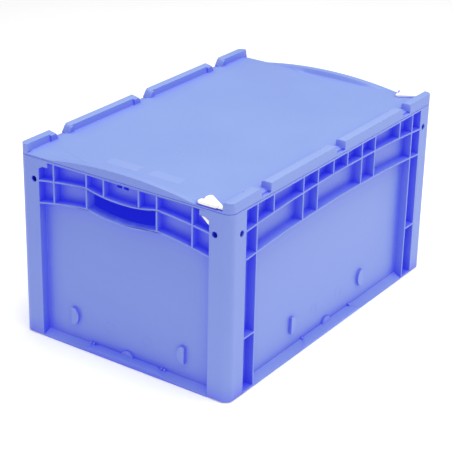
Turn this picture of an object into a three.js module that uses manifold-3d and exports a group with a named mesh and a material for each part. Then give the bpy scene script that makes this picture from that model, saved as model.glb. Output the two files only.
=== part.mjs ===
// Stacking tote with a hinged lid, two snap latches and a clip-in base plate.
// Millimetres, +Z up. The origin is the centre of the footprint, on the ground.
// X runs along the long sides, Y along the short sides. The lid hinges on the +Y side.

import * as THREE from "three";
import { mergeVertices } from "three/addons/utils/BufferGeometryUtils.js";
import Module from "manifold-3d";

const wasm = await Module();
wasm.setup();

// ---------------------------------------------------------------- driving dimensions

const LENGTH = 600;
const WIDTH = 400;
const HEIGHT = 325.5;
const HALF_LENGTH = LENGTH / 2;
const HALF_WIDTH = WIDTH / 2;
const CORNER_RADIUS = 14;
const CORNER_STEPS = 6;
const PAST = 1; // how far a cutting tool runs past the face that it cuts

// body
const BODY_BOTTOM = 1; // the base plate alone touches the ground
const RIM_TOP = 308;
const RIM_THICKNESS = 3.5;
const RIM_UNDERSIDE = RIM_TOP - RIM_THICKNESS;
const LIP_TOP = 310.6;
const WALL = 3;
const RECESS = 15;
const CAVITY_INSET = RECESS + WALL;
const CAVITY_RADIUS = 10;
const FLOOR_BOTTOM = 5.3;
const FLOOR_TOP = FLOOR_BOTTOM + WALL;
const RIB = 3;
const SHORT_PILLAR_EDGE = 161.1; // |y| where a pillar ends on a short side
const LONG_PILLAR_EDGE = 261; // |x| where a pillar ends on a long side
const PILLAR_ROOF = 300;
const PILLAR_HOLE_RADIUS = 5;
const PILLAR_HOLE_Z = 272;
const PILLAR_HOLE_SHORT = 170.8;
const PILLAR_HOLE_LONG = 272.6;

// Rib rows are shallow arches: crown height in the middle, lower by `fall` at the pillars.
const SHORT_ROWS = { upper: { crown: 284.7, fall: 13.1 }, lower: { crown: 251.3, fall: 17.3 } };
const LONG_ROWS = { upper: { crown: 281.3, fall: 10.3 }, lower: { crown: 235.8, fall: 10.6 } };
const ROW_STEPS = 14;
const HANDLE_HALF = 66.5;
const HANDLE_DIP = 8;
const SHORT_TALL_RIBS = [131.1, HANDLE_HALF];
const SHORT_TOP_RIB = 33.1;
const LONG_END_RIB = 232.9;
const LONG_TALL_RIBS = [108.1, 66.5];
const LONG_TOP_RIBS = [189.6, 21];
const CROSSBAR_Z = 95.5;

const SLOT = { width: 9.5, centres: [14, 1], bottom: 292, top: 298.5 };
const BOSS = { flat: 110.5, width: 14, bottom: 34, top: 63, rise: 5 };

const KEEPER = { inner: 143.5, bottom: 296, thickness: 3, gussetInner: 153, gussetBottom: 290.8 };
const LATCH_SLOT = { outer: 296.9, inner: 285, near: 144.4, far: 160.6 };

// base plate
const FIT_GAP = 0.3;
const PLATE_TOP = FLOOR_BOTTOM - FIT_GAP;
const PLATE_SHORT_ARM = SHORT_PILLAR_EDGE - FIT_GAP;
const PLATE_LONG_ARM = LONG_END_RIB - RIB / 2 - FIT_GAP;
const LEDGE_BACK = RECESS - FIT_GAP;
const LEDGES = {
  short: { front: 2.5, back: 9.5, middleFront: 8, middleBack: 11, middle: 50, ramp: 90 },
  long: { front: 1.2, back: 9.5, middleFront: 4.5, middleBack: 10.5, middle: 60, ramp: 95 },
};
const TAB = { radius: 12, centreZ: 7, thickness: 4.5, steps: 12 };
const NOSE = { length: 3.2, spread: 2.9, depth: 4, bottom: 6, top: 12.5, short: 70, long: 73 };

// lid
const LID_BOTTOM = 308.5;
const LID_TOP = 314;
const LID_PLATE = 3;
const LID_UNDERSIDE = LID_TOP - LID_PLATE;
const SKIRT = 8;
const FLANGE_TOP = 310.8; // the thin edge of the lid along its short sides
const END_SLOPE = 12; // run of the slope from that edge up to the lid along a short side
const RIDGE = { outer: 198.2, inner: 184.5, foot: 182.5, skin: 2.8 };
const PAD = { inner: 180.8, top: 324.2, left: 35, right: 19 }; // thicker end of each run of ridge
const GAP_INNER = 178;
// Each gap in a ridge: foot, shoulder and top of its left and right ends.
const FAR_GAP = {
  left: [[-12.2, LID_TOP], [-15.3, 321.5], [-20, HEIGHT]],
  right: [[12.6, LID_TOP], [17.3, 322.5], [20.5, HEIGHT]],
  skew: 0.3,
};
const NEAR_GAP = {
  left: [[-12.2, LID_TOP], [-12.6, 322], [-16, HEIGHT]],
  right: [[12.3, LID_TOP], [14.4, 324.3], [15.6, HEIGHT]],
  skew: 0,
};
const SCOOP = { left: -11.4, right: 11.8, inner: 186, edge: 310 };
const WELL = { shelf: 192.5, shelfZ: 312.6, inner: 193.5, outer: 198.4, floor: 310, lip: 311.5 };
const ARCH = { crown: 322.6, reach: 137, front: -136.5, width: 27, strip: 11, fade: 4, base: 309.5, skin: 3 };
const ARCH_STEPS = { along: 24, across: 13, pocket: 9 };
const ARCH_POCKET = { inner: 290, half: 100 };
const LOCATING_RIB = { outer: 22, inner: 24, bottom: 304.5 };
const STIFFENER = { thickness: 2, bottom: 306, places: [-150, 0, 150] };

// hinges on the +Y side
const HINGE_X = [-210.5, 0, 210.5];
const HINGE_Y = 196.5;
const HINGE_Z = 300;
const KNUCKLE_RADIUS = 3.5;
const BORE_RADIUS = 1.65;
const PIN_RADIUS = 1.25;
const ROUND_STEPS = 24;
const ARM_HALF = 8;
const ARM = { inner: 190.2, bottom: 302 };
const NOTCH_HALF = 8.6;
const NOTCH_INNER = 189.5;
const EAR = { inner: 9.2, outer: 13.2 };
const BRACKET = { half: 18.6, bottom: 286, top: 304.2, back: 185.4, front: 199.6, sheet: 3 };
const PIN_HEAD = { radius: 2.3, inner: 13.5, outer: 14.7 };
const RIM_CHAMFER = 1.2;

// latches on the short sides, near the -Y corners
const LATCH_AXIS = { out: 295.5, z: 315 };
const LATCH_NEAR = -140;
const LATCH_FAR = -183.2;
const LATCH_NOTCH = { inner: 291.6, outer: 297, near: -139.5, far: -183.7, bridge: 311.7 };
const LATCH_EAR = { inner: 291.5, outer: 298.8, near: -136.5, far: -189, top: 318.3 };
const BARREL_RADIUS = 2.8;
const WING = { bottom: 314.5, top: 318 };
const LATCH_FACE = { inner: 297.4, bottom: 313.4, top: 317.5, far: -172.5 };
const STEM = { inner: 293.2, outer: 296.4, near: -145.2, far: -159.8 };
const TOE = { outer: 299.6, top: 295.6, bottom: 284.8, near: -146.5, far: -160.4, tip: 1.2, slope: 4.4 };
const LATCH_PIN = { near: -136.8, far: -187.2, bore: -188 };

// ---------------------------------------------------------------- solids

function solid(geometry) {
  geometry.deleteAttribute("normal");
  geometry.deleteAttribute("uv");
  const merged = mergeVertices(geometry, 1e-4);
  const vertProperties = new Float32Array(merged.attributes.position.array);
  const triVerts = new Uint32Array(merged.index.array);
  return new wasm.Manifold(new wasm.Mesh({ numProp: 3, vertProperties, triVerts }));
}

function joined(pieces) {
  return pieces.reduce((whole, piece) => whole.add(piece));
}

function cut(whole, tools) {
  return tools.reduce((rest, tool) => rest.subtract(tool), whole);
}

// A box between two x, two y and two z values, in either order.
function box([x0, x1], [y0, y1], [z0, z1]) {
  const geometry = new THREE.BoxGeometry(Math.abs(x1 - x0), Math.abs(y1 - y0), Math.abs(z1 - z0));
  geometry.translate((x0 + x1) / 2, (y0 + y1) / 2, (z0 + z1) / 2);
  return solid(geometry);
}

function shapeFrom(points) {
  return new THREE.Shape(points.map(([u, v]) => new THREE.Vector2(u, v)));
}

function extruded(shape, depth, steps = CORNER_STEPS) {
  return new THREE.ExtrudeGeometry(shape, { depth, bevelEnabled: false, curveSegments: steps });
}

// A plan shape in x and y, raised from z0 to z1.
function raised(shape, z0, z1) {
  const geometry = extruded(shape, z1 - z0);
  geometry.translate(0, 0, z0);
  return solid(geometry);
}

// A shape in y and z, carried along X between x0 and x1.
function geometryAlongX(shape, x0, x1, steps) {
  const geometry = extruded(shape, Math.abs(x1 - x0), steps);
  const yAxis = new THREE.Vector3(0, 1, 0);
  const zAxis = new THREE.Vector3(0, 0, 1);
  const xAxis = new THREE.Vector3(1, 0, 0);
  geometry.applyMatrix4(new THREE.Matrix4().makeBasis(yAxis, zAxis, xAxis));
  geometry.translate(Math.min(x0, x1), 0, 0);
  return geometry;
}

function alongX(shape, x0, x1, steps) {
  return solid(geometryAlongX(shape, x0, x1, steps));
}

// A shape in x and z, carried along Y between y0 and y1.
function geometryAlongY(shape, y0, y1, steps) {
  const geometry = extruded(shape, Math.abs(y1 - y0), steps);
  const xAxis = new THREE.Vector3(1, 0, 0);
  const zAxis = new THREE.Vector3(0, 0, 1);
  const backwards = new THREE.Vector3(0, -1, 0);
  geometry.applyMatrix4(new THREE.Matrix4().makeBasis(xAxis, zAxis, backwards));
  geometry.translate(0, Math.max(y0, y1), 0);
  return geometry;
}

function alongY(shape, y0, y1, steps) {
  return solid(geometryAlongY(shape, y0, y1, steps));
}

function disc(u, v, radius) {
  return new THREE.Shape().absarc(u, v, radius, 0, 2 * Math.PI, false);
}

// The tote's rounded outline, drawn in by `inset` on every side.
function outline(inset, radius) {
  const x = HALF_LENGTH - inset;
  const y = HALF_WIDTH - inset;
  const shape = new THREE.Shape();
  shape.moveTo(-x + radius, -y);
  shape.lineTo(x - radius, -y);
  shape.absarc(x - radius, -y + radius, radius, -Math.PI / 2, 0, false);
  shape.lineTo(x, y - radius);
  shape.absarc(x - radius, y - radius, radius, 0, Math.PI / 2, false);
  shape.lineTo(-x + radius, y);
  shape.absarc(-x + radius, y - radius, radius, Math.PI / 2, Math.PI, false);
  shape.lineTo(-x, -y + radius);
  shape.absarc(-x + radius, -y + radius, radius, Math.PI, 1.5 * Math.PI, false);
  return shape;
}

// ---------------------------------------------------------------- tote body

function archHeight(row, halfSpan, at) {
  return row.crown - row.fall * (at / halfSpan) ** 2;
}

function longRowZ(row, x) {
  return archHeight(row, LONG_PILLAR_EDGE, x);
}

// Between the two handle ribs a short-side row sags instead of rising.
function shortRowZ(row, y) {
  const reach = Math.min(Math.abs(y) / HANDLE_HALF, 1);
  if (reach === 1) {
    return archHeight(row, SHORT_PILLAR_EDGE, y);
  }
  return archHeight(row, SHORT_PILLAR_EDGE, HANDLE_HALF) - HANDLE_DIP * (1 - reach ** 2);
}

function steps(from, to, count) {
  return Array.from({ length: count + 1 }, (_, i) => from + ((to - from) * i) / count);
}

// The face between two curves: `lower` and `upper` give the height at each place.
function band(places, lower, upper) {
  const bottom = places.map((at) => [at, lower(at)]);
  const top = places.map((at) => [at, upper(at)]).reverse();
  return shapeFrom([...bottom, ...top]);
}

function ribBand(places, heightAt) {
  return band(places, (at) => heightAt(at) - RIB / 2, (at) => heightAt(at) + RIB / 2);
}

function shortPlaces() {
  const wing = steps(HANDLE_HALF, SHORT_PILLAR_EDGE + PAST, ROW_STEPS / 2);
  const middle = steps(-HANDLE_HALF, HANDLE_HALF, ROW_STEPS).slice(1, -1);
  return [...wing.map((y) => -y).reverse(), ...middle, ...wing];
}

function verticalRibX(at, side, bottom) {
  const depth = [side * (HALF_LENGTH - RECESS - PAST), side * HALF_LENGTH];
  return box(depth, [at - RIB / 2, at + RIB / 2], [bottom, RIM_TOP - PAST]);
}

function verticalRibY(at, side, bottom) {
  const depth = [side * (HALF_WIDTH - RECESS - PAST), side * HALF_WIDTH];
  return box([at - RIB / 2, at + RIB / 2], depth, [bottom, RIM_TOP - PAST]);
}

// A boss with a flat side towards the pillar and a round side towards the middle.
function bossShape(sign) {
  const middleZ = (BOSS.bottom + BOSS.top) / 2;
  const arc = steps(BOSS.bottom, BOSS.top, TAB.steps).map((z) => {
    const reach = (z - middleZ) / (BOSS.top - middleZ);
    return [sign * (BOSS.flat - BOSS.width * Math.sqrt(1 - 0.8 * reach ** 2)), z];
  });
  return shapeFrom([[sign * BOSS.flat, BOSS.bottom], ...arc, [sign * BOSS.flat, BOSS.top]]);
}

// The plate that a latch hooks under, with a gusset below it at the pillar.
function keeperShape(sign) {
  const past = SHORT_PILLAR_EDGE + PAST;
  const points = [[KEEPER.inner, RIM_TOP - PAST], [KEEPER.inner, KEEPER.bottom]];
  points.push([KEEPER.gussetInner, KEEPER.bottom], [past, KEEPER.gussetBottom], [past, RIM_TOP - PAST]);
  return shapeFrom(points.map(([y, z]) => [sign * y, z]));
}

function shortSideRibs(side) {
  const inner = side * (HALF_LENGTH - RECESS - PAST);
  const outer = side * HALF_LENGTH;
  const pieces = [];
  for (const row of [SHORT_ROWS.upper, SHORT_ROWS.lower]) {
    pieces.push(alongX(ribBand(shortPlaces(), (y) => shortRowZ(row, y)), inner, outer));
  }
  for (const sign of [-1, 1]) {
    for (const y of SHORT_TALL_RIBS) {
      pieces.push(verticalRibX(sign * y, side, shortRowZ(SHORT_ROWS.lower, y)));
    }
    pieces.push(verticalRibX(sign * SHORT_TOP_RIB, side, shortRowZ(SHORT_ROWS.upper, SHORT_TOP_RIB)));
    pieces.push(alongX(keeperShape(sign), side * (HALF_LENGTH - KEEPER.thickness), outer));
    const bossOuter = side * (HALF_LENGTH - RECESS + BOSS.rise);
    pieces.push(alongX(bossShape(sign), inner, bossOuter));
  }
  return pieces;
}

function longSideRibs(side) {
  const inner = side * (HALF_WIDTH - RECESS - PAST);
  const outer = side * HALF_WIDTH;
  const places = steps(-LONG_PILLAR_EDGE - PAST, LONG_PILLAR_EDGE + PAST, ROW_STEPS);
  const pieces = [];
  for (const row of [LONG_ROWS.upper, LONG_ROWS.lower]) {
    pieces.push(alongY(ribBand(places, (x) => longRowZ(row, x)), inner, outer));
  }
  for (const sign of [-1, 1]) {
    pieces.push(verticalRibY(sign * LONG_END_RIB, side, BODY_BOTTOM));
    for (const x of LONG_TALL_RIBS) {
      pieces.push(verticalRibY(sign * x, side, longRowZ(LONG_ROWS.lower, x)));
    }
    for (const x of LONG_TOP_RIBS) {
      pieces.push(verticalRibY(sign * x, side, longRowZ(LONG_ROWS.upper, x)));
    }
    const cell = [sign * LONG_END_RIB, sign * (LONG_PILLAR_EDGE + PAST)];
    pieces.push(box(cell, [inner, outer], [CROSSBAR_Z - RIB / 2, CROSSBAR_Z + RIB / 2]));
    pieces.push(box(cell, [inner, outer], [BODY_BOTTOM, BODY_BOTTOM + RIB]));
    pieces.push(alongY(bossShape(sign), inner, side * (HALF_WIDTH - RECESS + BOSS.rise)));
  }
  return pieces;
}

// The open corner of a pillar, between its outer skin and the wall of the cavity.
function pillarHollows() {
  const inside = raised(outline(WALL, CORNER_RADIUS - WALL), -PAST, PILLAR_ROOF);
  const wall = raised(outline(RECESS, CAVITY_RADIUS + WALL), -2 * PAST, PILLAR_ROOF + PAST);
  const ring = inside.subtract(wall);
  const hollows = [];
  for (const sx of [-1, 1]) {
    for (const sy of [-1, 1]) {
      const xs = [sx * (LONG_PILLAR_EDGE + WALL), sx * (HALF_LENGTH + PAST)];
      const ys = [sy * (SHORT_PILLAR_EDGE + WALL), sy * (HALF_WIDTH + PAST)];
      hollows.push(ring.intersect(box(xs, ys, [-2 * PAST, RIM_TOP])));
    }
  }
  return hollows;
}

function pillarHoles() {
  const tools = [];
  const reach = WALL + PAST;
  for (const side of [-1, 1]) {
    for (const sign of [-1, 1]) {
      const onShort = disc(sign * PILLAR_HOLE_SHORT, PILLAR_HOLE_Z, PILLAR_HOLE_RADIUS);
      const xs = [side * (HALF_LENGTH + PAST), side * (HALF_LENGTH - reach)];
      tools.push(alongX(onShort, xs[0], xs[1]));
      const onLong = disc(sign * PILLAR_HOLE_LONG, PILLAR_HOLE_Z, PILLAR_HOLE_RADIUS);
      const ys = [side * (HALF_WIDTH + PAST), side * (HALF_WIDTH - reach)];
      tools.push(alongY(onLong, ys[0], ys[1]));
    }
  }
  return tools;
}

function handHole(side) {
  const edge = HANDLE_HALF - RIB / 2;
  const places = steps(-edge, edge, ROW_STEPS);
  const bottom = (y) => shortRowZ(SHORT_ROWS.lower, y) + RIB / 2;
  const top = (y) => shortRowZ(SHORT_ROWS.upper, y) - RIB / 2;
  const inner = side * (HALF_LENGTH - CAVITY_INSET - PAST);
  return alongX(band(places, bottom, top), inner, side * (HALF_LENGTH - RECESS + PAST));
}

function rimSlots(side) {
  const xs = [side * (HALF_LENGTH - CAVITY_INSET - PAST), side * (HALF_LENGTH - RECESS + PAST)];
  return SLOT.centres.map((y) => {
    return box(xs, [y - SLOT.width / 2, y + SLOT.width / 2], [SLOT.bottom, SLOT.top]);
  });
}

// The shell before its ribs: pillars, wall, floor and rim.
function bodyShell() {
  const tools = [raised(outline(CAVITY_INSET, CAVITY_RADIUS), FLOOR_TOP, LIP_TOP + PAST)];
  tools.push(raised(outline(CAVITY_INSET, CAVITY_RADIUS), -PAST, FLOOR_BOTTOM));
  const belowRim = [-PAST, RIM_UNDERSIDE];
  for (const side of [-1, 1]) {
    const xs = [side * (HALF_LENGTH - RECESS), side * (HALF_LENGTH + PAST)];
    const ys = [side * (HALF_WIDTH - RECESS), side * (HALF_WIDTH + PAST)];
    tools.push(box(xs, [-SHORT_PILLAR_EDGE, SHORT_PILLAR_EDGE], belowRim));
    tools.push(box([-LONG_PILLAR_EDGE, LONG_PILLAR_EDGE], ys, belowRim));
    tools.push(handHole(side));
    tools.push(...rimSlots(side));
  }
  const block = raised(outline(0, CORNER_RADIUS), BODY_BOTTOM, RIM_TOP);
  const lip = raised(outline(RECESS, CAVITY_RADIUS + WALL), RIM_UNDERSIDE, LIP_TOP);
  return cut(block.add(lip), [...tools, ...pillarHollows(), ...pillarHoles()]);
}

function hingeNotches() {
  const notches = HINGE_X.map((x) => {
    const ys = [NOTCH_INNER, HALF_WIDTH + PAST];
    return box([x - NOTCH_HALF, x + NOTCH_HALF], ys, [RIM_UNDERSIDE - PAST, RIM_TOP + PAST]);
  });
  const edge = [HALF_WIDTH + PAST, RIM_TOP + PAST];
  const reach = RIM_CHAMFER + PAST;
  const inwards = [edge[0] - reach - PAST, edge[1]];
  const chamfer = shapeFrom([edge, inwards, [edge[0], edge[1] - reach - PAST]]);
  return [...notches, alongX(chamfer, -HALF_LENGTH, HALF_LENGTH)];
}

function toteBody() {
  const ribs = [-1, 1].flatMap((side) => [...shortSideRibs(side), ...longSideRibs(side)]);
  const tools = hingeNotches();
  const underPlate = [-PAST, FLOOR_BOTTOM];
  const longArm = LONG_END_RIB - RIB / 2;
  const shortXs = [-HALF_LENGTH - PAST, HALF_LENGTH + PAST];
  const longYs = [-HALF_WIDTH - PAST, HALF_WIDTH + PAST];
  tools.push(box(shortXs, [-SHORT_PILLAR_EDGE, SHORT_PILLAR_EDGE], underPlate));
  tools.push(box([-longArm, longArm], longYs, underPlate));
  for (const side of [-1, 1]) {
    const xs = [side * LATCH_SLOT.inner, side * LATCH_SLOT.outer];
    tools.push(box(xs, [-LATCH_SLOT.near, -LATCH_SLOT.far], [RIM_UNDERSIDE - PAST, RIM_TOP + PAST]));
  }
  return cut(joined([bodyShell(), ...ribs]), tools);
}

// ---------------------------------------------------------------- base plate

// One edge of the plate in section: `out` is measured outwards from the tote's middle.
function ledgeSection(half, sign, front, back) {
  const outer = sign * half;
  const inner = sign * (half - LEDGE_BACK);
  return shapeFrom([[outer, 0], [outer, front], [inner, back], [inner, 0]]);
}

function rampShape(ledge) {
  const top = ledge.middleBack + PAST;
  const ends = [[-ledge.ramp, ledge.front], [-ledge.middle, top], [ledge.middle, top]];
  return shapeFrom([...ends, [ledge.ramp, ledge.front], [ledge.ramp, 0], [-ledge.ramp, 0]]);
}

function tabShape() {
  const shape = new THREE.Shape();
  shape.moveTo(TAB.radius, PLATE_TOP - PAST);
  shape.lineTo(TAB.radius, TAB.centreZ);
  shape.absarc(0, TAB.centreZ, TAB.radius, 0, Math.PI, false);
  shape.lineTo(-TAB.radius, PLATE_TOP - PAST);
  return shape;
}

function shortLedge(side) {
  const ledge = LEDGES.short;
  const back = side * (HALF_LENGTH - LEDGE_BACK);
  const edge = ledgeSection(HALF_LENGTH, side, ledge.front, ledge.back);
  const raisedEdge = ledgeSection(HALF_LENGTH, side, ledge.middleFront, ledge.middleBack);
  const ramp = alongX(rampShape(ledge), side * (HALF_LENGTH + PAST), back - side * PAST);
  const middle = alongY(raisedEdge, -ledge.ramp, ledge.ramp).intersect(ramp);
  const pieces = [alongY(edge, -PLATE_SHORT_ARM, PLATE_SHORT_ARM), middle];
  pieces.push(alongX(tabShape(), back, back + side * TAB.thickness, TAB.steps));
  for (const middleY of [-NOSE.short, NOSE.short]) {
    for (const y of [middleY - NOSE.spread, middleY + NOSE.spread]) {
      const ys = [y - NOSE.length / 2, y + NOSE.length / 2];
      pieces.push(box([back, back + side * NOSE.depth], ys, [NOSE.bottom, NOSE.top]));
    }
  }
  return pieces;
}

function longLedge(side) {
  const ledge = LEDGES.long;
  const back = side * (HALF_WIDTH - LEDGE_BACK);
  const edge = ledgeSection(HALF_WIDTH, side, ledge.front, ledge.back);
  const raisedEdge = ledgeSection(HALF_WIDTH, side, ledge.middleFront, ledge.middleBack);
  const ramp = alongY(rampShape(ledge), side * (HALF_WIDTH + PAST), back - side * PAST);
  const middle = alongX(raisedEdge, -ledge.ramp, ledge.ramp).intersect(ramp);
  const pieces = [alongX(edge, -PLATE_LONG_ARM, PLATE_LONG_ARM), middle];
  pieces.push(alongY(tabShape(), back, back + side * TAB.thickness, TAB.steps));
  for (const x of [-NOSE.long, NOSE.long]) {
    const xs = [x - NOSE.length / 2, x + NOSE.length / 2];
    pieces.push(box(xs, [back, back + side * NOSE.depth], [NOSE.bottom, NOSE.top]));
  }
  return pieces;
}

function basePlate() {
  const shortX = HALF_LENGTH - LEDGE_BACK + PAST;
  const longY = HALF_WIDTH - LEDGE_BACK + PAST;
  const middle = [
    box([-shortX, shortX], [-PLATE_SHORT_ARM, PLATE_SHORT_ARM], [0, PLATE_TOP]),
    box([-PLATE_LONG_ARM, PLATE_LONG_ARM], [-longY, longY], [0, PLATE_TOP]),
  ];
  const edges = [-1, 1].flatMap((side) => [...shortLedge(side), ...longLedge(side)]);
  return joined([...middle, ...edges]);
}

// ---------------------------------------------------------------- lid

function gapOn(side) {
  return side > 0 ? FAR_GAP : NEAR_GAP;
}

// Sets a tool over one gap. It drifts left by `skew` as it runs from the lid's edge inwards.
function askew(geometry, x, side) {
  const { skew } = gapOn(side);
  geometry.applyMatrix4(new THREE.Matrix4().makeShear(0, 0, side * skew, 0, 0, 0));
  geometry.translate(x - skew * HALF_WIDTH, 0, 0);
  return solid(geometry);
}

function ridgeGap(x, side) {
  const above = HEIGHT + PAST;
  const { left, right } = gapOn(side);
  const points = [left[0], ...right, [right.at(-1)[0], above], [left.at(-1)[0], above]];
  points.push(left[2], left[1]);
  return askew(geometryAlongY(shapeFrom(points), side * GAP_INNER, side * (HALF_WIDTH + PAST)), x, side);
}

// The floor of each gap falls outwards; on the -Y side it drops into a well behind a lip.
function scoop(x, side) {
  const past = HALF_WIDTH + PAST;
  const above = LID_TOP + PAST;
  const points = [[SCOOP.inner, above], [SCOOP.inner, LID_TOP]];
  if (side > 0) {
    points.push([past, SCOOP.edge]);
  } else {
    points.push([WELL.shelf, WELL.shelfZ], [WELL.inner, WELL.floor], [WELL.outer, WELL.floor]);
    points.push([WELL.outer, WELL.lip], [past, WELL.lip]);
  }
  points.push([past, above]);
  const shape = shapeFrom(points.map(([y, z]) => [side * y, z]));
  return askew(geometryAlongX(shape, SCOOP.left, SCOOP.right), x, side);
}

// The runs of ridge between the gaps, as [start, end] of each level top.
function ridgeRuns(side) {
  const { left, right, skew } = gapOn(side);
  const drift = skew * (HALF_WIDTH - RIDGE.inner);
  const starts = [-HALF_LENGTH + CORNER_RADIUS, ...HINGE_X.map((x) => x + right.at(-1)[0])];
  const ends = [...HINGE_X.map((x) => x + left.at(-1)[0] - drift), HALF_LENGTH - CORNER_RADIUS];
  return starts.map((start, i) => [start, ends[i]]);
}

// Section of a ridge on the +Y or -Y side, with an inner face that leans out a little.
function ridgeSection(side) {
  const points = [[HALF_WIDTH, LID_TOP - PAST], [HALF_WIDTH, HEIGHT]];
  points.push([RIDGE.inner, HEIGHT], [RIDGE.foot, LID_TOP - PAST]);
  return shapeFrom(points.map(([y, z]) => [side * y, z]));
}

function ridge(side) {
  const ys = [side * PAD.inner, side * (RIDGE.inner + PAST)];
  const pads = HINGE_X.map((x) => box([x - PAD.left, x + PAD.right], ys, [LID_TOP - PAST, PAD.top]));
  const whole = joined([alongX(ridgeSection(side), -HALF_LENGTH, HALF_LENGTH), ...pads]);
  return cut(whole, HINGE_X.map((x) => ridgeGap(x, side)));
}

function ridgeHollows() {
  const depth = [LID_BOTTOM - PAST, HEIGHT - RIDGE.skin];
  const inner = RIDGE.inner + RIDGE.skin;
  const outer = RIDGE.outer - RIDGE.skin;
  return [-1, 1].flatMap((side) => {
    const ys = [side * inner, side * outer];
    return ridgeRuns(side).map(([start, end]) => box([start + RIDGE.skin, end - RIDGE.skin], ys, depth));
  });
}

// The plate, with a slope down to a thin edge along each short side.
function lidPlate() {
  const plate = raised(outline(0, CORNER_RADIUS), LID_BOTTOM, LID_TOP);
  const slopes = [-1, 1].map((side) => {
    const past = HALF_LENGTH + PAST;
    const points = [[past, FLANGE_TOP], [HALF_LENGTH, FLANGE_TOP]];
    points.push([HALF_LENGTH - END_SLOPE, LID_TOP], [HALF_LENGTH - END_SLOPE, LID_TOP + PAST]);
    points.push([past, LID_TOP + PAST]);
    return alongY(shapeFrom(points.map(([x, z]) => [side * x, z])), -RIDGE.foot, RIDGE.foot);
  });
  return cut(plate, slopes);
}

// All that the lid may fill: its outline, with long faces that lean in up to the ridge tops.
function lidEnvelope() {
  const points = [[-HALF_WIDTH, LID_BOTTOM], [HALF_WIDTH, LID_BOTTOM], [HALF_WIDTH, FLANGE_TOP]];
  points.push([RIDGE.outer, HEIGHT], [-RIDGE.outer, HEIGHT], [-HALF_WIDTH, FLANGE_TOP]);
  const leaning = alongX(shapeFrom(points), -HALF_LENGTH, HALF_LENGTH);
  return leaning.intersect(raised(outline(0, CORNER_RADIUS), LID_BOTTOM, HEIGHT));
}

function archTop(y) {
  return ARCH.crown - (ARCH.crown - FLANGE_TOP) * (y / ARCH.reach) ** 2;
}

// How much of the arch's height is left at `inwards` from the lid's short edge.
function archFade(inwards) {
  const t = Math.max(inwards - ARCH.strip, 0) / (ARCH.width - ARCH.strip);
  return (1 - t) ** ARCH.fade;
}

// An arch along each short edge: a level strip, then a hollow curve that fades into the lid.
function arch(side) {
  const length = ARCH.reach - ARCH.front;
  const { along, across } = ARCH_STEPS;
  const geometry = new THREE.BoxGeometry(ARCH.width, length, 1, across, along, 1);
  geometry.translate(side * (HALF_LENGTH - ARCH.width / 2), ARCH.front + length / 2, 0);
  const place = geometry.attributes.position;
  for (let i = 0; i < place.count; i += 1) {
    const fade = archFade(HALF_LENGTH - Math.abs(place.getX(i)));
    const top = FLANGE_TOP + Math.max(archTop(place.getY(i)) - FLANGE_TOP, 0) * fade;
    place.setZ(i, place.getZ(i) > 0 ? top : ARCH.base);
  }
  return solid(geometry);
}

function archPocket(side) {
  const places = steps(-ARCH_POCKET.half, ARCH_POCKET.half, ARCH_STEPS.pocket);
  const shape = band(places, () => LID_BOTTOM - PAST, (y) => archTop(y) - ARCH.skin);
  return alongX(shape, side * ARCH_POCKET.inner, side * (HALF_LENGTH - ARCH.skin));
}

function hingeArm(x) {
  const xs = [x - ARM_HALF, x + ARM_HALF];
  const foot = box(xs, [HINGE_Y - KNUCKLE_RADIUS, HALF_WIDTH], [HINGE_Z, ARM.bottom + PAST]);
  const upright = box(xs, [ARM.inner, HALF_WIDTH], [ARM.bottom, LID_UNDERSIDE + PAST]);
  const eye = alongX(disc(HINGE_Y, HINGE_Z, KNUCKLE_RADIUS), x - ARM_HALF, x + ARM_HALF, ROUND_STEPS / 4);
  return joined([foot, upright, eye]);
}

function latchEars(side) {
  const { out, z } = LATCH_AXIS;
  const ys = [LATCH_NOTCH.near, LATCH_EAR.near];
  const webX = [side * (out - BARREL_RADIUS), side * (out + BARREL_RADIUS)];
  const web = box(webX, ys, [LID_UNDERSIDE - PAST, z]);
  const eye = alongY(disc(side * out, z, BARREL_RADIUS), ys[0], ys[1], ROUND_STEPS / 4);
  const farX = [side * LATCH_EAR.inner, side * LATCH_EAR.outer];
  const far = box(farX, [LATCH_NOTCH.far, LATCH_EAR.far], [LID_UNDERSIDE - PAST, LATCH_EAR.top]);
  return [web, eye, far];
}

function latchNotch(side) {
  const ys = [LATCH_NOTCH.near, LATCH_NOTCH.far];
  const whole = [side * LATCH_NOTCH.inner, side * (HALF_LENGTH + PAST)];
  const behindFlange = [side * LATCH_NOTCH.inner, side * LATCH_NOTCH.outer];
  const bore = alongY(
    disc(side * LATCH_AXIS.out, LATCH_AXIS.z, BORE_RADIUS),
    LATCH_PIN.bore,
    LATCH_EAR.near + PAST,
    ROUND_STEPS / 4
  );
  const open = box(whole, ys, [LATCH_NOTCH.bridge, HEIGHT]);
  return [open, box(behindFlange, ys, [LID_BOTTOM - PAST, HEIGHT]), bore];
}

function locatingRib() {
  const { outer, inner, bottom } = LOCATING_RIB;
  const radius = CAVITY_RADIUS - outer + CAVITY_INSET;
  const ring = raised(outline(outer, radius), bottom, LID_UNDERSIDE + PAST);
  const core = raised(outline(inner, radius - inner + outer), bottom - PAST, LID_UNDERSIDE);
  return ring.subtract(core);
}

function stiffeners() {
  const { thickness, bottom, places } = STIFFENER;
  const zs = [bottom, LID_UNDERSIDE + PAST];
  const x = HALF_LENGTH - LOCATING_RIB.outer - PAST;
  const y = HALF_WIDTH - LOCATING_RIB.outer - PAST;
  const crosswise = places.map((at) => box([at - thickness / 2, at + thickness / 2], [-y, y], zs));
  return [...crosswise, box([-x, x], [-thickness / 2, thickness / 2], zs)];
}

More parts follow.
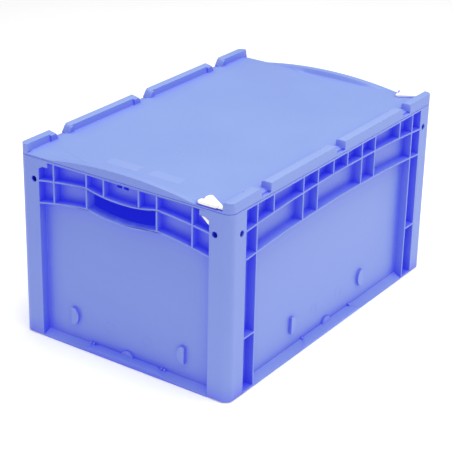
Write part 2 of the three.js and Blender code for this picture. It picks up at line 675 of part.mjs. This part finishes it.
function lidSolid() {
  const sides = [-1, 1];
  const under = raised(outline(SKIRT, CORNER_RADIUS - SKIRT), LID_BOTTOM - PAST, LID_UNDERSIDE);
  const hollows = [under, ...ridgeHollows(), ...sides.map(archPocket)];
  const outside = joined([lidPlate(), ...sides.map(ridge)]).intersect(lidEnvelope());
  const shell = cut(joined([outside, ...sides.map(arch)]), hollows);
  const extras = [locatingRib(), ...stiffeners(), ...HINGE_X.map(hingeArm)];
  extras.push(...sides.flatMap(latchEars));
  const bores = HINGE_X.map((x) => {
    const ends = [x - ARM_HALF - PAST, x + ARM_HALF + PAST];
    return alongX(disc(HINGE_Y, HINGE_Z, BORE_RADIUS), ends[0], ends[1], ROUND_STEPS / 4);
  });
  const scoops = sides.flatMap((side) => HINGE_X.map((x) => scoop(x, side)));
  const tools = [...sides.flatMap(latchNotch), ...scoops, ...bores];
  return cut(joined([shell, ...extras]), tools);
}

// ---------------------------------------------------------------- hinges

function hingeBracket(x) {
  const wide = [x - BRACKET.half, x + BRACKET.half];
  const sheetTop = BRACKET.bottom + BRACKET.sheet;
  const sheetFront = BRACKET.back + BRACKET.sheet;
  const shelf = box(wide, [BRACKET.back, BRACKET.front], [BRACKET.bottom, sheetTop]);
  const back = box(wide, [BRACKET.back, sheetFront], [BRACKET.bottom, BRACKET.top]);
  const ears = [-1, 1].map((sign) => {
    const cheek = new THREE.Shape();
    cheek.moveTo(sheetFront - PAST, BRACKET.bottom + PAST);
    cheek.lineTo(BRACKET.front, BRACKET.bottom + PAST);
    cheek.lineTo(HINGE_Y + KNUCKLE_RADIUS, HINGE_Z);
    cheek.absarc(HINGE_Y, HINGE_Z, KNUCKLE_RADIUS, 0, Math.PI / 2, false);
    cheek.lineTo(sheetFront - PAST, HINGE_Z + KNUCKLE_RADIUS);
    return alongX(cheek, x + sign * EAR.inner, x + sign * EAR.outer);
  });
  const reach = BRACKET.half + PAST;
  const bore = alongX(disc(HINGE_Y, HINGE_Z, BORE_RADIUS), x - reach, x + reach, ROUND_STEPS / 4);
  return joined([shelf, back, ...ears]).subtract(bore);
}

// A headed pin turned about its own axis, which becomes the X axis.
function hingePin(x) {
  const profile = [[0, -PIN_HEAD.outer], [PIN_HEAD.radius, -PIN_HEAD.outer]];
  profile.push([PIN_HEAD.radius, -PIN_HEAD.inner], [PIN_RADIUS, -PIN_HEAD.inner]);
  profile.push([PIN_RADIUS, PIN_HEAD.inner], [PIN_HEAD.radius, PIN_HEAD.inner]);
  profile.push([PIN_HEAD.radius, PIN_HEAD.outer], [0, PIN_HEAD.outer]);
  const points = profile.map(([r, h]) => new THREE.Vector2(r, h));
  const geometry = new THREE.LatheGeometry(points, ROUND_STEPS / 2);
  geometry.rotateZ(Math.PI / 2);
  geometry.translate(x, HINGE_Y, HINGE_Z);
  return solid(geometry);
}

// ---------------------------------------------------------------- latches

// Plan of the white lever: a small outer lobe and a wing that tapers to the corner.
function leverPlan(side) {
  const out = HALF_LENGTH;
  const points = [[out, -140.3], [out - 9, -140.3], [out - 10.5, -144.5], [out - 19, -141.5]];
  points.push([out - 27.5, -143], [out - 28.5, -147.5], [out - 19, -161.5]);
  points.push([out - 6, -180.5], [out, -173]);
  return shapeFrom(points.map(([x, y]) => [side * x, y]));
}

function latch(side) {
  const { out, z } = LATCH_AXIS;
  const round = ROUND_STEPS / 4;
  const barrel = alongY(disc(side * out, z, BARREL_RADIUS), LATCH_FAR, LATCH_NEAR, round);
  const wing = raised(leverPlan(side), WING.bottom, WING.top);
  const faceX = [side * LATCH_FACE.inner, side * HALF_LENGTH];
  const faceZ = [LATCH_FACE.bottom, LATCH_FACE.top];
  const face = box(faceX, [LATCH_FACE.far, LATCH_NEAR - PAST], faceZ);
  const stemX = [side * STEM.inner, side * STEM.outer];
  const stem = box(stemX, [STEM.near, STEM.far], [TOE.top - PAST, z - BORE_RADIUS]);
  const points = [[TOE.near, TOE.top], [-KEEPER.gussetInner, TOE.top]];
  points.push([TOE.far, TOE.top - TOE.slope], [TOE.far, TOE.bottom], [TOE.far + TOE.tip, TOE.bottom]);
  const toe = alongX(shapeFrom(points), side * STEM.inner, side * TOE.outer);
  const bore = alongY(disc(side * out, z, BORE_RADIUS), LATCH_FAR - PAST, LATCH_NEAR + PAST, round);
  return joined([barrel, wing, face, stem, toe]).subtract(bore);
}

function latchPin(side) {
  const length = LATCH_PIN.near - LATCH_PIN.far;
  const geometry = new THREE.CylinderGeometry(PIN_RADIUS, PIN_RADIUS, length, ROUND_STEPS / 2);
  const middle = (LATCH_PIN.near + LATCH_PIN.far) / 2;
  geometry.translate(side * LATCH_AXIS.out, middle, LATCH_AXIS.z);
  return solid(geometry);
}

// ---------------------------------------------------------------- assembly

const PLASTIC_BLUE = { color: 0x4a63d8, roughness: 0.45, metalness: 0 };
const PLASTIC_WHITE = { color: 0xf4f4f2, roughness: 0.4, metalness: 0 };
const STEEL = { color: 0xb8bcc0, roughness: 0.3, metalness: 1 };

function meshOf(name, manifold, finish) {
  const { vertProperties, triVerts } = manifold.getMesh();
  const geometry = new THREE.BufferGeometry();
  geometry.setAttribute("position", new THREE.BufferAttribute(vertProperties, 3));
  geometry.setIndex(new THREE.BufferAttribute(triVerts, 1));
  geometry.computeVertexNormals();
  const mesh = new THREE.Mesh(geometry, new THREE.MeshStandardMaterial(finish));
  mesh.name = name;
  return mesh;
}

const HINGE_NAMES = ["left", "middle", "right"];
const SIDES = { left: -1, right: 1 };

const tote = new THREE.Group();
tote.add(meshOf("tote_body", toteBody(), PLASTIC_BLUE));
tote.add(meshOf("base_plate", basePlate(), PLASTIC_BLUE));
tote.add(meshOf("lid", lidSolid(), PLASTIC_BLUE));
HINGE_X.forEach((x, i) => {
  tote.add(meshOf(`hinge_bracket_${HINGE_NAMES[i]}`, hingeBracket(x), PLASTIC_BLUE));
  tote.add(meshOf(`hinge_pin_${HINGE_NAMES[i]}`, hingePin(x), STEEL));
});
for (const [name, side] of Object.entries(SIDES)) {
  tote.add(meshOf(`latch_${name}`, latch(side), PLASTIC_WHITE));
  tote.add(meshOf(`latch_pin_${name}`, latchPin(side), STEEL));
}

export default tote;
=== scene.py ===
import math

import bmesh
import bpy
from mathutils import Matrix, Vector


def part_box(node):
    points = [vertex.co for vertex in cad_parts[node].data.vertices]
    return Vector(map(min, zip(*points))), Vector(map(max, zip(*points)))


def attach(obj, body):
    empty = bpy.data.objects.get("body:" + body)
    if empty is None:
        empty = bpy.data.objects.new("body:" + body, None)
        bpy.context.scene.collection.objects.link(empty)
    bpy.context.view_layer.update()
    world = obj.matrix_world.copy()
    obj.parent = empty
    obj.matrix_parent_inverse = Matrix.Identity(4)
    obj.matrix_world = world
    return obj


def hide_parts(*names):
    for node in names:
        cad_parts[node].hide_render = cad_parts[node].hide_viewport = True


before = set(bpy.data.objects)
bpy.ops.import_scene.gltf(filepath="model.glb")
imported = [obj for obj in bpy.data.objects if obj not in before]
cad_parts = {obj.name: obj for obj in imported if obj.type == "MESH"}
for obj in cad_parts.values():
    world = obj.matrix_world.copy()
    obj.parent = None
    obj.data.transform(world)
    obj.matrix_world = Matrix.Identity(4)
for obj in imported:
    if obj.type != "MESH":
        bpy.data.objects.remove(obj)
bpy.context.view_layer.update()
MM = 0.001

# ---------------------------------------------------------------- what rides where

TOTE, LID = "tote", "lid"
HINGES = ("left", "middle", "right")
SIDES = ("left", "right")

# ---------------------------------------------------------------- materials

# Places of the colour sockets on a Mix node.
MIX_A, MIX_B, MIX_RESULT = 6, 7, 2
# Pointiness where an outer edge starts to look rubbed, and where it is fully rubbed; the lighter edge colour
# there is part wear and part painted highlight.
EDGE_POINTINESS = (0.515, 0.60)
# The middle of a noise pattern, where most of its values lie.
NOISE_SPAN = (0.3, 0.7)
AO_SAMPLES = 8


class Graph:
    """A material's node tree, with short ways to add and link nodes."""

    def __init__(self, name):
        self.material = bpy.data.materials.new(name)
        self.material.use_nodes = True
        self.tree = self.material.node_tree
        self.shader = self.tree.nodes["Principled BSDF"]
        coords = self.add("ShaderNodeTexCoord")
        self.place = coords.outputs["Object"]

    def add(self, kind, **settings):
        node = self.tree.nodes.new(kind)
        for key, value in settings.items():
            setattr(node, key, value)
        return node

    def link(self, source, target):
        self.tree.links.new(source, target)

    def noise(self, scale, detail=3.0, roughness=0.5, stretch=(1, 1, 1)):
        mapping = self.add("ShaderNodeMapping")
        mapping.inputs["Scale"].default_value = stretch
        self.link(self.place, mapping.inputs["Vector"])
        node = self.add("ShaderNodeTexNoise")
        node.inputs["Scale"].default_value = scale
        node.inputs["Detail"].default_value = detail
        node.inputs["Roughness"].default_value = roughness
        self.link(mapping.outputs["Vector"], node.inputs["Vector"])
        return node.outputs["Fac"]

    def spread(self, source, low, high, to_low, to_high):
        """Maps source from low..high to to_low..to_high, held at both ends."""
        node = self.add("ShaderNodeMapRange")
        for key, value in (
            ("From Min", low),
            ("From Max", high),
            ("To Min", to_low),
            ("To Max", to_high),
        ):
            node.inputs[key].default_value = value
        self.link(source, node.inputs["Value"])
        return node.outputs["Result"]

    def math(self, operation, a, b):
        node = self.add("ShaderNodeMath", operation=operation)
        for socket, value in zip(node.inputs, (a, b)):
            if isinstance(value, (int, float)):
                socket.default_value = value
            else:
                self.link(value, socket)
        return node.outputs["Value"]

    def mix(self, factor, a, b):
        node = self.add("ShaderNodeMix", data_type="RGBA")
        self.link(factor, node.inputs["Factor"])
        for socket, value in ((node.inputs[MIX_A], a), (node.inputs[MIX_B], b)):
            if isinstance(value, tuple):
                socket.default_value = (*value, 1)
            else:
                self.link(value, socket)
        return node.outputs[MIX_RESULT]

    def bump(self, layers):
        """Stacks (height, strength, distance) layers of bump onto the shader's normal."""
        normal = None
        for height, strength, distance in layers:
            node = self.add("ShaderNodeBump")
            node.inputs["Strength"].default_value = strength
            node.inputs["Distance"].default_value = distance
            self.link(height, node.inputs["Height"])
            if normal is not None:
                self.link(normal, node.inputs["Normal"])
            normal = node.outputs["Normal"]
        self.link(normal, self.shader.inputs["Normal"])

    def openness(self, distance):
        """1 on open faces, falling towards 0 in a corner or a cell; it places the painted shade and the
        painted glow.
        """
        node = self.add("ShaderNodeAmbientOcclusion", samples=AO_SAMPLES)
        node.inputs["Distance"].default_value = distance
        return node.outputs["AO"]

    def edge(self):
        """0 on flat faces and 1 along sharp outer edges, which are lightened as part wear and part painted
        highlight.
        """
        geometry = self.add("ShaderNodeNewGeometry")
        return self.spread(geometry.outputs["Pointiness"], *EDGE_POINTINESS, 0.0, 1.0)


# Inside the tub and the pillars, where little light gets in, the painted glow fades, which paints shade
# there.
ROOM = 0.30
ROOM_RANGE = (0.03, 0.14)
ROOM_PAINTED_GLOW = 0.15

# Noise patterns, each as scale, detail, roughness and stretch.
FLOW = (5.0, 4.0, 0.55, (1, 1, 2.2))
SPECKS = (260.0, 2.0, 0.6)
GRAIN = (1500.0, 2.0, 0.5)
# Bumps, each as strength and distance.
FLOW_BUMP = (0.10, 0.6 * MM)
SPECK_BUMP = (0.08, 0.2 * MM)
GRAIN_BUMP = (0.10, 0.06 * MM)
SPECK_SPAN = (0.35, 0.65)
# The specks thin out the rubbed edges, and with them their painted highlight.
RUB_SPAN = (0.3, 0.6)
RUB_LEAST = 0.45  # how rubbed an edge is where the specks leave it be
ROUGH_SWING = 0.05
RUB_POLISH = 0.08
PLASTIC_IOR = 1.49


def moulded_plastic(name, look):
    """Injection-moulded plastic: fine grain, flow marks, edges lightened as part wear and part painted
    highlight, painted shade in its hollows, and a painted glow that carries much of its blue.
    """
    graph = Graph(name)
    flow = graph.noise(*FLOW)
    specks = graph.noise(*SPECKS)
    grain = graph.noise(*GRAIN)
    # Rubbed edge mask: it lightens edges as part wear and part painted highlight, and polishes them.
    rubbed_and_highlit = graph.math("MULTIPLY", graph.edge(), graph.spread(specks, *RUB_SPAN, RUB_LEAST, 1.0))

    tone = graph.mix(graph.spread(flow, *NOISE_SPAN, 0.0, 1.0), look["shade"], look["tint"])
    tone = graph.mix(graph.spread(specks, *SPECK_SPAN, 0.0, look["speckle"]), tone, look["shade"])
    # Painted shade: ambient occlusion darkens corners and cells towards the "deep" colour.
    openness = graph.openness(look["reach"])
    painted_shade = graph.spread(openness, *look["painted_shade_range"], 1.0, 0.0)
    tone = graph.mix(painted_shade, tone, look["painted_shade"])
    # Rubbed edges turn to the lighter "worn" colour: part wear, part painted highlight.
    tone = graph.mix(graph.math("MULTIPLY", rubbed_and_highlit, look["wear_and_highlight"]), tone, look["worn_and_highlit"])
    graph.link(tone, graph.shader.inputs["Base Color"])

    # Painted glow: the plastic gives off light of its own though it is no lamp. There is more of it in its
    # hollows and less inside the closed tub.
    graph.shader.inputs["Emission Color"].default_value = (*look["painted_glow"], 1)
    strength = graph.math("ADD", graph.math("MULTIPLY", painted_shade, look["painted_glow_in_hollows"]), look["painted_glow_open"])
    enclosed = graph.spread(graph.openness(ROOM), *ROOM_RANGE, ROOM_PAINTED_GLOW, 1.0)
    graph.link(graph.math("MULTIPLY", strength, enclosed), graph.shader.inputs["Emission Strength"])

    rough = graph.spread(flow, *NOISE_SPAN, look["rough"] - ROUGH_SWING, look["rough"] + ROUGH_SWING)
    rough = graph.math("SUBTRACT", rough, graph.math("MULTIPLY", rubbed_and_highlit, RUB_POLISH))
    graph.link(rough, graph.shader.inputs["Roughness"])
    graph.shader.inputs["IOR"].default_value = PLASTIC_IOR
    graph.bump([(flow, *FLOW_BUMP), (specks, *SPECK_BUMP), (grain, *GRAIN_BUMP)])
    return graph.material


LINES = (900.0, 3.0, 0.6, (0.05, 1, 1))
LINE_BUMP = (0.15, 0.04 * MM)
DULL = (60.0, 3.0)
STEEL_DULL, STEEL_BRIGHT = (0.52, 0.53, 0.55), (0.70, 0.71, 0.72)
STEEL_ROUGH = (0.22, 0.38)


def drawn_steel(name):
    """Bright drawn wire: fine lines along the pin and a slightly dull skin."""
    graph = Graph(name)
    lines = graph.noise(*LINES)
    dull = graph.noise(*DULL)
    tone = graph.mix(graph.spread(dull, *NOISE_SPAN, 0.0, 1.0), STEEL_DULL, STEEL_BRIGHT)
    graph.link(tone, graph.shader.inputs["Base Color"])
    graph.shader.inputs["Metallic"].default_value = 1.0
    graph.link(graph.spread(lines, *NOISE_SPAN, *STEEL_ROUGH), graph.shader.inputs["Roughness"])
    graph.bump([(lines, *LINE_BUMP)])
    return graph.material


CLOUD_SCALE = 3.0
FLOOR_SHADE, FLOOR_TINT = (0.90, 0.90, 0.90), (0.93, 0.93, 0.93)
FLOOR_GLOW = 0.25
FLOOR_ROUGHNESS = 0.9
FLOOR_GLOSS = 0.1


def painted_floor(name):
    """The studio's pale floor, with a faint light of its own that keeps it near white."""
    graph = Graph(name)
    cloud = graph.noise(CLOUD_SCALE)
    tone = graph.mix(graph.spread(cloud, *NOISE_SPAN, 0.0, 1.0), FLOOR_SHADE, FLOOR_TINT)
    graph.link(tone, graph.shader.inputs["Base Color"])
    graph.shader.inputs["Roughness"].default_value = FLOOR_ROUGHNESS
    graph.shader.inputs["Specular IOR Level"].default_value = FLOOR_GLOSS
    graph.shader.inputs["Emission Color"].default_value = (1, 1, 1, 1)
    graph.shader.inputs["Emission Strength"].default_value = FLOOR_GLOW
    return graph.material


# "tint" and "shade" mix along the flow marks. "deep" is painted shade, the darker colour laid into corners
# and cells; "worn" is the edges' lighter colour, part wear and part painted highlight.
# "reach" is how far a corner's painted shade is felt, in metres. "painted_shade_range" runs from a face in
# full painted shade to an open one.
# "glow" is a painted glow, as if the plastic were lit from within though it is no lamp: "painted_glow_open"
# of it everywhere, and "painted_glow_in_hollows" more in corners and cells. It carries much of the blue, so
# "tint" and "shade" are greyish.
BLUE = {
    "tint": (0.215, 0.300, 0.330),
    "shade": (0.195, 0.275, 0.310),
    "painted_shade": (0.075, 0.088, 0.260),
    "worn_and_highlit": (0.310, 0.400, 0.420),
    "painted_glow": (0.020, 0.026, 1.000),
    "painted_shade_range": (0.30, 0.95),
    "reach": 0.035,
    "painted_glow_open": 0.40,
    "painted_glow_in_hollows": 0.13,
    "speckle": 0.35,
    "wear_and_highlight": 0.65,
    "rough": 0.44,
}
WHITE = {
    "tint": (0.90, 0.90, 0.885),
    "shade": (0.87, 0.87, 0.86),
    "painted_shade": (0.70, 0.70, 0.70),
    "worn_and_highlit": (0.95, 0.95, 0.94),
    "painted_glow": (1.0, 1.0, 0.98),
    "painted_shade_range": (0.30, 0.95),
    "reach": 0.01,
    "painted_glow_open": 0.10,
    "painted_glow_in_hollows": 0.0,
    "speckle": 0.30,
    "wear_and_highlight": 0.5,
    "rough": 0.38,
}

body_blue = moulded_plastic("body_blue", BLUE)
lid_blue = moulded_plastic("lid_blue", {**BLUE, "rough": 0.47})
base_blue = moulded_plastic("base_blue", {**BLUE, "speckle": 0.45, "wear_and_highlight": 0.8})
latch_white = moulded_plastic("latch_white", WHITE)
pin_steel = drawn_steel("pin_steel")

# ---------------------------------------------------------------- moulded parts


def add_object(name, mesh, material, body):
    mesh.materials.clear()
    mesh.materials.append(material)
    obj = bpy.data.objects.new(name, mesh)
    bpy.context.collection.objects.link(obj)
    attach(obj, body)
    return obj


EDGE_ANGLE = 35
LID_EDGE_ANGLE = 50  # the arches' feet, which run out softly, stay below it
EDGE_SEGMENTS = 2
WELD = 0.1 * MM  # joins faces at their shared corners, and steps too small to round

# How wide each rounded edge is.
BODY_EDGE = 0.6 * MM
LID_EDGE = 0.7 * MM
BRACKET_EDGE = 0.4 * MM
LATCH_EDGE = 0.5 * MM
HINGE_PIN_EDGE = 0.2 * MM
LATCH_PIN_EDGE = 0.15 * MM


def soften(obj, width, angle):
    """Rounds every real edge, as a mould does, and keeps the flat faces flat."""
    for polygon in obj.data.polygons:
        polygon.use_smooth = True
    bevel = obj.modifiers.new("mould_radius", "BEVEL")
    bevel.width = width
    bevel.segments = EDGE_SEGMENTS
    bevel.limit_method = "ANGLE"
    bevel.angle_limit = math.radians(angle)
    bevel.use_clamp_overlap = False
    weighted = obj.modifiers.new("flat_faces", "WEIGHTED_NORMAL")
    weighted.keep_sharp = True


def moulded(node_name, material, body, width, angle=EDGE_ANGLE):
    """The CAD node's shape as one welded mesh with moulded radii, standing for the node."""
    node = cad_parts[node_name]
    shape = bmesh.new()
    shape.from_mesh(node.data)
    bmesh.ops.remove_doubles(shape, verts=shape.verts, dist=WELD)
    mesh = bpy.data.meshes.new(node_name + "_moulded")
    shape.to_mesh(mesh)
    shape.free()
    if mesh.has_custom_normals:
        mesh.attributes.remove(mesh.attributes["custom_normal"])
    obj = add_object(node_name + "_moulded", mesh, material, body)
    soften(obj, width, angle)
    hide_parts(node_name)


moulded("tote_body", body_blue, TOTE, BODY_EDGE)
moulded("base_plate", base_blue, TOTE, BODY_EDGE)
moulded("lid", lid_blue, LID, LID_EDGE, LID_EDGE_ANGLE)
for place in HINGES:
    moulded("hinge_bracket_" + place, base_blue, TOTE, BRACKET_EDGE)
    moulded("hinge_pin_" + place, pin_steel, TOTE, HINGE_PIN_EDGE)
for place in SIDES:
    moulded("latch_" + place, latch_white, "latch_" + place, LATCH_EDGE)
    moulded("latch_pin_" + place, pin_steel, LID, LATCH_PIN_EDGE)

# ---------------------------------------------------------------- small moulded marks


RING_AROUND, RING_ACROSS = 56, 6
PANEL_CORNER_STEPS = 6
PANEL_EDGE = 0.4  # share of a panel's height that stands straight, below its bevel


def swept_ring(name, centre, u_axis, v_axis, radius, width, height):
    """A low round-topped ring lying on a face, with u and v in that face."""
    centre, u_axis, v_axis = Vector(centre), Vector(u_axis), Vector(v_axis)
    normal = u_axis.cross(v_axis)
    shape = bmesh.new()
    loops = []
    for i in range(RING_AROUND):
        turn = 2 * math.pi * i / RING_AROUND
        out = u_axis * math.cos(turn) + v_axis * math.sin(turn)
        loop = []
        for j in range(RING_ACROSS + 1):
            angle = math.pi * j / RING_ACROSS
            offset = out * (radius + width / 2 * math.cos(angle))
            loop.append(shape.verts.new(centre + offset + normal * height * math.sin(angle)))
        loop.append(shape.verts.new(centre + out * radius - normal * height))
        loops.append(loop)
    for i, loop in enumerate(loops):
        after = loops[(i + 1) % RING_AROUND]
        for j in range(len(loop)):
            k = (j + 1) % len(loop)
            shape.faces.new((loop[j], after[j], after[k], loop[k]))
    bmesh.ops.recalc_face_normals(shape, faces=shape.faces)
    mesh = bpy.data.meshes.new(name)
    shape.to_mesh(mesh)
    shape.free()
    for polygon in mesh.polygons:
        polygon.use_smooth = True
    return mesh


def blank_panel(name, x_range, y_range, z, height, radius):
    """A low raised panel with round corners, on the lid."""
    shape = bmesh.new()
    rings = []
    for inset, level in ((0, -height), (0, height * PANEL_EDGE), (height, height)):
        ring = []
        r = radius - inset
        corners = (
            (x_range[1] - radius, y_range[1] - radius, 0),
            (x_range[0] + radius, y_range[1] - radius, 1),
            (x_range[0] + radius, y_range[0] + radius, 2),
            (x_range[1] - radius, y_range[0] + radius, 3),
        )
        for cx, cy, quarter in corners:
            for i in range(PANEL_CORNER_STEPS + 1):
                turn = math.pi / 2 * (quarter + i / PANEL_CORNER_STEPS)
                ring.append(shape.verts.new((cx + r * math.cos(turn), cy + r * math.sin(turn), z + level)))
        rings.append(ring)
    for lower, upper in zip(rings, rings[1:]):
        for i in range(len(lower)):
            k = (i + 1) % len(lower)
            shape.faces.new((lower[i], lower[k], upper[k], upper[i]))
    shape.faces.new(rings[-1])
    shape.faces.new(list(reversed(rings[0])))
    mesh = bpy.data.meshes.new(name)
    shape.to_mesh(mesh)
    shape.free()
    return mesh


_, body_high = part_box("tote_body")
RECESS = 15 * MM
EJECTOR = {"radius": 8.6 * MM, "width": 0.9 * MM, "height": 0.22 * MM}
EJECTOR_Z = 48 * MM
EJECTOR_SHORT = 36.6 * MM
EJECTOR_LONG = 38.5 * MM
wall_x = body_high[0] - RECESS
wall_y = body_high[1] - RECESS
for side, x_name in ((-1, "left"), (1, "right")):
    for sign, y_name in ((-1, "front"), (1, "back")):
        name = f"ejector_mark_{x_name}_{y_name}"
        spot = (side * wall_x, sign * EJECTOR_SHORT, EJECTOR_Z)
        mark = swept_ring(name, spot, (0, side, 0), (0, 0, 1), **EJECTOR)
        add_object(name, mark, body_blue, TOTE)
        name = f"ejector_mark_{y_name}_{x_name}"
        spot = (side * EJECTOR_LONG, sign * wall_y, EJECTOR_Z)
        mark = swept_ring(name, spot, (-sign, 0, 0), (0, 0, 1), **EJECTOR)
        add_object(name, mark, body_blue, TOTE)

LID_FACE = 314 * MM
PANEL_X = (-262 * MM, -240 * MM)
PANELS_Y = ((2 * MM, 61 * MM), (-78 * MM, -19 * MM))
PANEL_HEIGHT = 0.2 * MM
PANEL_RADIUS = 4 * MM
GATE = {"radius": 6 * MM, "width": 1.2 * MM, "height": 0.25 * MM}
GATE_X = 160 * MM
for number, panel_y in enumerate(PANELS_Y, start=1):
    name = f"blank_panel_{number}"
    panel = blank_panel(name, PANEL_X, panel_y, LID_FACE, PANEL_HEIGHT, PANEL_RADIUS)
    add_object(name, panel, lid_blue, LID)
for side, x_name in ((-1, "left"), (1, "right")):
    name = f"gate_mark_{x_name}"
    mark = swept_ring(name, (side * GATE_X, 0, LID_FACE), (1, 0, 0), (0, 1, 0), **GATE)
    add_object(name, mark, lid_blue, LID)

# ---------------------------------------------------------------- studio

FLOOR_SIZE = 14.0
FLOOR_CELLS = 24
FLOOR_DROP = 0.5 * MM
LIGHT_AIM = Vector((0, 0, 0.16))
WORLD_STRENGTH = 0.25


def make_floor():
    shape = bmesh.new()
    bmesh.ops.create_grid(shape, x_segments=FLOOR_CELLS, y_segments=FLOOR_CELLS, size=FLOOR_SIZE / 2)
    mesh = bpy.data.meshes.new("floor")
    shape.to_mesh(mesh)
    shape.free()
    mesh.materials.append(painted_floor("studio_floor"))
    floor = bpy.data.objects.new("floor", mesh)
    floor.location.z = -FLOOR_DROP
    bpy.context.collection.objects.link(floor)


def area_light(name, azimuth, elevation, distance, size, watts):
    """A square white lamp aimed at the tote. Azimuth is from -Y towards +X, in degrees."""
    turn, rise = math.radians(azimuth), math.radians(elevation)
    out = Vector((math.sin(turn) * math.cos(rise), -math.cos(turn) * math.cos(rise), math.sin(rise)))
    lamp = bpy.data.lights.new(name, "AREA")
    lamp.size = size
    lamp.energy = watts
    obj = bpy.data.objects.new(name, lamp)
    obj.location = LIGHT_AIM + out * distance
    obj.rotation_euler = out.to_track_quat("Z", "Y").to_euler()
    bpy.context.collection.objects.link(obj)


make_floor()
area_light("key", azimuth=38, elevation=30, distance=3.0, size=1.4, watts=16)
area_light("overhead", azimuth=-20, elevation=82, distance=2.6, size=2.2, watts=88)
area_light("side_fill", azimuth=-88, elevation=18, distance=3.2, size=2.4, watts=6)

world = bpy.data.worlds.new("studio")
world.use_nodes = True
background = world.node_tree.nodes["Background"]
background.inputs["Color"].default_value = (1.0, 1.0, 1.0, 1)
background.inputs["Strength"].default_value = WORLD_STRENGTH
bpy.context.scene.world = world
bpy.context.scene.view_settings.view_transform = "Standard"

# ---------------------------------------------------------------- camera

AZIMUTH, ELEVATION, ROLL = (math.radians(a) for a in (-55.557, 24.491, 1.196))
CAMERA_PLACE = Vector((-1.9144, -1.2976, 1.1833))
SENSOR_WIDTH, FOCAL_LENGTH = 36, 120.95  # millimetres
back = Vector(
    (
        math.sin(AZIMUTH) * math.cos(ELEVATION),
        -math.cos(AZIMUTH) * math.cos(ELEVATION),
        math.sin(ELEVATION),
    )
)
level = Vector((0, 0, 1)).cross(back).normalized()
upright = back.cross(level)
right = level * math.cos(ROLL) + upright * math.sin(ROLL)
up = upright * math.cos(ROLL) - level * math.sin(ROLL)
camera = bpy.data.objects.new("camera", bpy.data.cameras.new("camera"))
camera.data.sensor_width = SENSOR_WIDTH
camera.data.lens = FOCAL_LENGTH
turned = Matrix((right, up, back)).transposed().to_4x4()
camera.matrix_world = Matrix.Translation(CAMERA_PLACE) @ turned
bpy.context.collection.objects.link(camera)
bpy.context.scene.camera = camera
